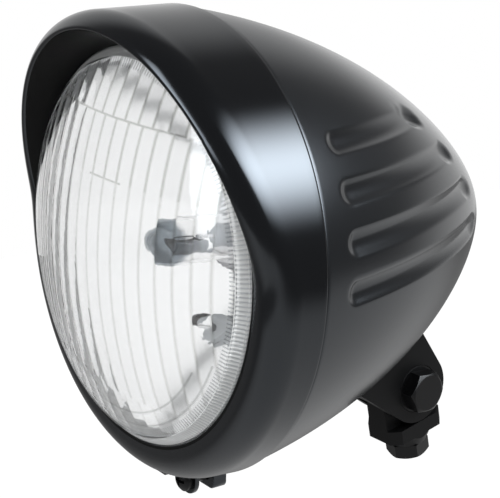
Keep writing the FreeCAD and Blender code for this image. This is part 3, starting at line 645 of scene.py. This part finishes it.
# finish of each surface: dark and light tone, roughness range, grain per metre, bump height in metres,
# shine for how strongly it mirrors and gloss for the tint of what it mirrors
finishes = {
    "satinBucket": dict(dark=(0.006, 0.0064, 0.0076), light=(0.008, 0.0085, 0.0098), rough=(0.21, 0.25),
                        scale=2600.0, bump=0.000002, gloss=(0.86, 0.93, 1.0)),
    "glossRing": dict(dark=(0.002, 0.002, 0.0025), light=(0.004, 0.004, 0.005), rough=(0.11, 0.14),
                      scale=1800.0, bump=0.000001, gloss=(0.86, 0.93, 1.0)),
    "hoodInside": dict(dark=(0.0015, 0.0015, 0.0015), light=(0.003, 0.003, 0.003), rough=(0.45, 0.55),
                       scale=1800.0, bump=0.00001, shine=0.10),
    "mattBracket": dict(dark=(0.0014, 0.0014, 0.0016), light=(0.003, 0.003, 0.0033), rough=(0.42, 0.52),
                        scale=1400.0, bump=0.00002, shine=0.12),
    "blackZinc": dict(dark=(0.0016, 0.0016, 0.002), light=(0.0035, 0.0035, 0.004), rough=(0.30, 0.40),
                      scale=2200.0, bump=0.00001, shine=0.18),
    "softRubber": dict(dark=(0.008, 0.008, 0.008), light=(0.014, 0.014, 0.014), rough=(0.62, 0.76),
                       scale=1600.0, bump=0.00002),
    "paleSeal": dict(dark=(0.62, 0.63, 0.63), light=(0.72, 0.73, 0.73), rough=(0.5, 0.6),
                     scale=1600.0, bump=0.00002),
    "greyHolder": dict(dark=(0.46, 0.48, 0.50), light=(0.56, 0.58, 0.60), rough=(0.45, 0.6),
                       scale=1600.0, bump=0.00002),
    "brightZinc": dict(dark=(0.66, 0.66, 0.68), light=(0.80, 0.80, 0.81), rough=(0.20, 0.32),
                       scale=900.0, bump=0.00001, metal=1.0),
    "darkSteel": dict(dark=(0.20, 0.22, 0.25), light=(0.28, 0.30, 0.33), rough=(0.25, 0.35),
                      scale=900.0, bump=0.00001, metal=1.0),
    "warmBrass": dict(dark=(0.50, 0.30, 0.10), light=(0.72, 0.46, 0.18), rough=(0.18, 0.30),
                      scale=900.0, bump=0.00001, metal=1.0),
    "bowlMirror": dict(dark=(0.90, 0.90, 0.91), light=(0.95, 0.95, 0.95), rough=(0.14, 0.20),
                       scale=60.0, bump=0.0, metal=1.0),
}


def newMaterial(name):
    material = bpy.data.materials.new(name)
    material.use_nodes = True
    return material, material.node_tree, material.node_tree.nodes["Principled BSDF"]


def addGrain(tree, shader, bumpHeight, **settings):
    # grain on the roughness and the bump; its colour is handed back
    grain = addNode(tree, "ShaderNodeGroup", node_tree=coatGrain, **settings)
    tree.links.new(grain.outputs["Roughness"], shader.inputs["Roughness"])
    if bumpHeight:
        bump = addNode(tree, "ShaderNodeBump", Strength=1.0, Distance=bumpHeight)
        tree.links.new(grain.outputs["Height"], bump.inputs["Height"])
        tree.links.new(bump.outputs["Normal"], shader.inputs["Normal"])
    return grain.outputs["Color"]


def coatMaterial(name):
    s = finishes[name]
    material, tree, shader = newMaterial(name)
    low, high = s["rough"]
    colour = addGrain(tree, shader, s["bump"], Scale=s["scale"], Dark=(*s["dark"], 1), Light=(*s["light"], 1),
                      RoughLow=low, RoughHigh=high)
    tree.links.new(colour, shader.inputs["Base Color"])
    shader.inputs["Metallic"].default_value = s.get("metal", 0.0)
    shader.inputs["Specular IOR Level"].default_value = s.get("shine", 0.5)
    shader.inputs["Specular Tint"].default_value = (*s.get("gloss", (1.0, 1.0, 1.0)), 1)
    return material


# painted front end of the bulb, in millimetres
bulbTip = {"length": 8.0, "soft": 3.0, "tone": (0.20, 0.235, 0.265)}


def inMetres(**sizes):
    return {name: size / 1000.0 for name, size in sizes.items()}


# a mark is what is drawn on glass, painted shade on the lens and paint on the bulb's tip: line group, its
# sizes, tone
def toothShadeMark(inner, tone):
    s = lensSet
    return toothShadeLines, {"Teeth": s["teeth"], "Half": s["toothHalf"], **inMetres(Inner=inner)}, tone


def ribShadeMarks():
    s = lensSet
    shadeAndPaintMarks, top = [], s["zoneTop"]
    for zone in s["zones"]:
        start, end = zone["step"]
        sizes = inMetres(Pitch=s["pitch"], Shift=zone["shift"], Low=zone["low"], High=top, Half=s["lineHalf"],
                         StepHalf=s["stepHalf"], StepStart=start, StepEnd=end)
        # each zone's painted shade is its share of the darkest tone
        tone = [1 - (1 - c) * zone["line"] for c in s["ribShadeTone"]]
        shadeAndPaintMarks.append((ribShadeLines, {"Lean": zone["lean"], **sizes}, tone))
        top = zone["low"]
    # painted shade along the pressed arcs
    for radius, half, high in s["arcs"]:
        shadeAndPaintMarks.append((arcShadeLines, inMetres(Radius=radius, Half=half, High=high), s["arcShadeTone"]))
    # painted shade between the teeth at the dome's edge
    shadeAndPaintMarks.append(toothShadeMark(s["toothInner"], s["toothShadeTone"]))
    return shadeAndPaintMarks


def tipMark():
    s = bulbTip
    front = 1000.0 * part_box("bulb_glass")[0].y
    return tipShade, inMetres(End=front + s["length"], Soft=s["soft"]), s["tone"]


# firstPass is the transmission depth below which light has not come back from the bowl yet
glassSet = {"ior": 1.5, "tintDrift": 0.985, "smoothShare": 0.5, "firstPass": 1.5}
glasses = {
    "lensGlass": dict(tint=(0.985, 0.99, 0.99), wave=90.0, height=0.00006),
    # the ribbed back carries painted shade in the rib valleys, along the steps, the arcs and the teeth
    "ribGlass": dict(tint=(0.985, 0.99, 0.99), wave=90.0, height=0.00006, shadeAndPaintMarks=ribShadeMarks()),
    # painted shade between the teeth all across the rim
    "rimGlass": dict(tint=(0.98, 0.99, 0.99), wave=400.0, height=0.00002, clear=0.5, rough=0.12,
                     shadeAndPaintMarks=[toothShadeMark(0.0, lensSet["rimShadeTone"])]),
    "bulbGlass": dict(tint=(0.98, 0.98, 0.98), wave=120.0, height=0.00004),
    "tippedGlass": dict(tint=(0.98, 0.98, 0.98), wave=120.0, height=0.00004, shadeAndPaintMarks=[tipMark()], once=False),
}


def glassMaterial(name, tint, wave, height, clear=1.0, rough=0.012, shadeAndPaintMarks=(), once=True):
    # clear pressed glass with a faint waviness and tint drift, darker along its marks
    # (painted shade on the lens, paint on the bulb's tip)
    s = glassSet
    material, tree, shader = newMaterial(name)
    shader.inputs["Transmission Weight"].default_value = clear
    shader.inputs["IOR"].default_value = s["ior"]
    dark = [c * s["tintDrift"] for c in tint]
    colour = addGrain(tree, shader, height, Scale=wave, Dark=(*dark, 1), Light=(*tint, 1),
                      RoughLow=s["smoothShare"] * rough, RoughHigh=rough)
    if shadeAndPaintMarks and once:
        # the painted shade of the marks darkens light on its first way through, not again on its way back
        # from the bowl
        path = addNode(tree, "ShaderNodeLightPath")
        first = calc(tree, "LESS_THAN", path.outputs["Transmission Depth"], s["firstPass"])
    # each mark darkens the glass colour: painted shade on the lens, paint on the bulb's tip
    for group, sizes, tone in shadeAndPaintMarks:
        mask = addNode(tree, "ShaderNodeGroup", node_tree=group, **sizes).outputs["Mask"]
        if once:
            mask = calc(tree, "MULTIPLY", mask, first)
        blend = addNode(tree, "ShaderNodeMix", data_type="RGBA", B=(*tone, 1))
        tree.links.new(mask, blend.inputs["Factor"])
        tree.links.new(colour, blend.inputs["A"])
        colour = blend.outputs["Result"]
    tree.links.new(colour, shader.inputs["Base Color"])
    return material


coats = {name: coatMaterial(name) for name in finishes}
coats.update({name: glassMaterial(name, **kind) for name, kind in glasses.items()})

for piece, names in ((bucketShell, ("satinBucket",)), (hoodedRing, ("glossRing", "hoodInside")),
                     (ribbedLens, ("lensGlass", "ribGlass", "rimGlass")), (mirrorBowl, ("bowlMirror",))):
    for name in names:
        piece.data.materials.append(coats[name])

# CAD nodes that stay: finish and width of the broken edges in millimetres
nodeFinish = {
    "bucket_lug": ("satinBucket", 0.4), "ring_tab": ("glossRing", 0.3), "ring_screw": ("blackZinc", 0.2),
    "lens_seal": ("paleSeal", 0), "retaining_clips": ("brightZinc", 0), "bulb_base": ("brightZinc", 0.2),
    "bulb_glass": ("tippedGlass", 0), "bulb_core": ("darkSteel", 0), "bulb_coils": ("brightZinc", 0),
    "bulb_blades": ("warmBrass", 0), "bulb_spring": ("brightZinc", 0), "bulb_boot": ("softRubber", 0),
    "parking_holder": ("greyHolder", 0.2), "parking_bulb": ("bulbGlass", 0), "saddle": ("mattBracket", 0.7),
    "saddle_pad": ("softRubber", 0), "backing_plate": ("brightZinc", 0.2), "saddle_screws": ("brightZinc", 0),
    "cable_grommet": ("softRubber", 0), "pivot_bolt": ("blackZinc", 0.3), "pivot_washers": ("blackZinc", 0.2),
    "pivot_nut": ("blackZinc", 0.3), "mount_block": ("mattBracket", 0.7), "stem_bolt": ("blackZinc", 0.3),
}
# corners sharper than the angle, in degrees, are broken; the gap for the weld is in metres
edgeSet = {"weldGap": 2e-6, "segments": 2, "angle": 38}

for name, (finish, broken) in nodeFinish.items():
    node = nodes[name]
    node.data.materials.clear()
    node.data.materials.append(coats[finish])
    if broken:
        weld = node.modifiers.new("weld", "WELD")
        weld.merge_threshold = edgeSet["weldGap"]
        bevel = node.modifiers.new("edges", "BEVEL")
        bevel.width, bevel.segments, bevel.limit_method = broken / 1000.0, edgeSet["segments"], "ANGLE"
        bevel.angle_limit = math.radians(edgeSet["angle"])
print("finishes on", len(nodeFinish), "CAD nodes")

# studio: dim room with two paler parts, a wide soft box on the right and a narrow one in front, pale floor
studioSet = {
    "aim": (0.0, -0.075, 0.095), "fill": 0.80, "room": 0.20, "clearLevel": 1.1,
    # paler parts of the room as mirrored in the paint: direction, where it starts and is full,
    # how much brighter
    "pale": (((-0.852, 0.397, 0.342), 0.62, 0.90, 0.60), ((-0.35, 0.92, -0.18), 0.80, 0.97, 0.72)),
    "boxTint": (0.90, 0.95, 1.0), "boxSides": 0.5,
    "floorDrop": 0.30, "floorSize": 3.0, "floorBack": 0.4, "floorTone": (0.86, 0.86, 0.86), "floorRough": 0.9,
    "floorGlow": 1.08, "floorShare": 0.88,
    # the floor as mirrored in the paint: its brightness, and where it dims to the left and the right
    "floorMirror": 0.94, "floorDim": 0.20, "floorLeft": -0.45, "floorRight": 0.05,
    "edgeStart": 0.7, "edgeEnd": 1.45,
}
# soft boxes: direction from the lamp, metres away, width and height, degrees turned, brightness;
# one with a fade shows only in gloss, and dims that fast towards its upper and lower edge
boxSet = {
    "keyBox": dict(direction=(0.25, -0.20, 0.95), away=1.2, size=(1.0, 1.0), turn=0.0, level=1.2),
    "keySheen": dict(direction=(0.796, 0.112, 0.595), away=1.0, size=(1.80, 1.15), turn=9.0, level=24.0,
                     fade=3.0),
    "frontSheen": dict(direction=(-0.15, -0.945, 0.29), away=1.0, size=(0.22, 0.85), turn=20.0, level=10.0,
                       fade=0.5),
}


def buildWorld():
    s = studioSet
    world = bpy.data.worlds.new("studioRoom")
    scene.world = world
    world.use_nodes = True
    tree = world.node_tree
    tree.nodes.clear()
    link = tree.links.new
    path = addNode(tree, "ShaderNodeLightPath")
    place = addNode(tree, "ShaderNodeTexCoord")
    level = s["room"]
    for direction, start, full, gain in s["pale"]:
        toward = addNode(tree, "ShaderNodeVectorMath", operation="DOT_PRODUCT")
        toward.inputs[1].default_value = Vector(direction).normalized()
        link(place.outputs["Generated"], toward.inputs[0])
        level = calc(tree, "ADD", ramp(tree, toward.outputs["Value"], start, full, 0.0, gain), level)
    # what is seen through glass has white all round it
    clear = addNode(tree, "ShaderNodeMix", data_type="FLOAT", clamp_factor=True, B=s["clearLevel"])
    link(path.outputs["Transmission Depth"], clear.inputs["Factor"])
    link(level, clear.inputs["A"])
    white = (1, 1, 1, 1)
    fill = addNode(tree, "ShaderNodeBackground", Color=white, Strength=s["fill"])
    mirrored = addNode(tree, "ShaderNodeBackground", Color=white)
    seen = addNode(tree, "ShaderNodeBackground", Color=white, Strength=1.0)
    link(clear.outputs["Result"], mirrored.inputs["Strength"])
    sharp = calc(tree, "MAXIMUM", path.outputs["Is Glossy Ray"], path.outputs["Is Transmission Ray"])
    lit = mixShaders(tree, sharp, fill.outputs[0], mirrored.outputs[0])
    shown = mixShaders(tree, path.outputs["Is Camera Ray"], lit, seen.outputs[0])
    link(shown, addNode(tree, "ShaderNodeOutputWorld").inputs["Surface"])


def softEdges(lamp, fade):
    # the cloth of a soft box is brightest along its middle and fades towards its edges
    lamp.color = studioSet["boxTint"]
    lamp.use_nodes = True
    tree = lamp.node_tree
    place = addNode(tree, "ShaderNodeNewGeometry")
    split = addNode(tree, "ShaderNodeSeparateXYZ")
    tree.links.new(place.outputs["Parametric"], split.inputs[0])
    levels = []
    for axis, sharpness in (("X", studioSet["boxSides"]), ("Y", fade)):
        wave = calc(tree, "SINE", calc(tree, "MULTIPLY", split.outputs[axis], math.pi))
        levels.append(calc(tree, "POWER", wave, sharpness))
    tree.links.new(calc(tree, "MULTIPLY", *levels), tree.nodes["Emission"].inputs["Strength"])


def buildBoxes():
    aim = Vector(studioSet["aim"])
    for name, s in boxSet.items():
        width, height = s["size"]
        lamp = bpy.data.lights.new(name, "AREA")
        lamp.shape, lamp.size, lamp.size_y = "RECTANGLE", width, height
        lamp.energy = s["level"] * math.pi * width * height
        holder = bpy.data.objects.new(name, lamp)
        toward = Vector(s["direction"])
        facing = (toward * -1).to_track_quat("-Z", "Y").to_matrix()
        turned = facing @ Matrix.Rotation(math.radians(s["turn"]), 3, "Z")
        holder.matrix_world = Matrix.Translation(aim + toward.normalized() * s["away"]) @ turned.to_4x4()
        glossOnly = "fade" in s
        holder.visible_diffuse = holder.visible_transmission = not glossOnly
        holder.visible_glossy = glossOnly
        if glossOnly:
            softEdges(lamp, s["fade"])
        scene.collection.objects.link(holder)


def buildFloor():
    s = studioSet
    half = s["floorSize"] / 2
    low = cadLow.z - s["floorDrop"]
    mesh = bpy.data.meshes.new("floor")
    corners = [(-half, -half), (half, -half), (half, half), (-half, half)]
    mesh.from_pydata([(x, y + s["floorBack"], low) for x, y in corners], [], [(0, 1, 2, 3)])
    floor = bpy.data.objects.new("floor", mesh)
    scene.collection.objects.link(floor)
    paint, tree, shader = newMaterial("paleFloor")
    link = tree.links.new
    shader.inputs["Base Color"].default_value = (*s["floorTone"], 1)
    shader.inputs["Roughness"].default_value = s["floorRough"]
    path = addNode(tree, "ShaderNodeLightPath").outputs
    # mirrored in the paint, the floor fades towards the dim left and its right edge
    x, bright = objectPlace(tree)["X"], s["floorMirror"]
    fromLeft = ramp(tree, x, s["floorLeft"], s["floorRight"], s["floorDim"], bright)
    toRight = ramp(tree, x, s["edgeStart"], s["edgeEnd"], bright, s["room"])
    direct = addNode(tree, "ShaderNodeMath", operation="SUBTRACT", use_clamp=True)
    link(path["Is Glossy Ray"], direct.inputs[0])
    link(path["Transmission Depth"], direct.inputs[1])
    seen = addNode(tree, "ShaderNodeMix", data_type="FLOAT", A=s["floorGlow"])
    link(direct.outputs[0], seen.inputs["Factor"])
    link(calc(tree, "MINIMUM", fromLeft, toRight), seen.inputs["B"])
    glow = addNode(tree, "ShaderNodeEmission")
    link(seen.outputs["Result"], glow.inputs["Strength"])
    straight = calc(tree, "MAXIMUM", path["Is Camera Ray"], path["Is Glossy Ray"])
    shown = calc(tree, "MAXIMUM", straight, path["Is Transmission Ray"])
    share = calc(tree, "MULTIPLY", shown, s["floorShare"])
    blend = mixShaders(tree, share, shader.outputs[0], glow.outputs[0])
    link(blend, tree.nodes["Material Output"].inputs["Surface"])
    mesh.materials.append(paint)


buildWorld()
buildBoxes()
buildFloor()
print("studio ready")

# camera as photographed
cameraSet = {
    "place": (0.35099, -0.34932, 0.20002), "right": (0.59512, 0.80336, 0.02102),
    "up": (-0.20035, 0.12298, 0.97197), "lens": 87.193, "sensor": 36.0, "near": 0.01,
}
eye = bpy.data.cameras.new("camera")
eye.lens, eye.sensor_width, eye.clip_start = cameraSet["lens"], cameraSet["sensor"], cameraSet["near"]
camera = bpy.data.objects.new("camera", eye)
right = Vector(cameraSet["right"]).normalized()
behind = right.cross(Vector(cameraSet["up"])).normalized()
up = behind.cross(right)
facing = Matrix((right, up, behind)).transposed().to_4x4()
camera.matrix_world = Matrix.Translation(cameraSet["place"]) @ facing
scene.collection.objects.link(camera)
scene.camera = camera
scene.view_settings.view_transform = "Standard"
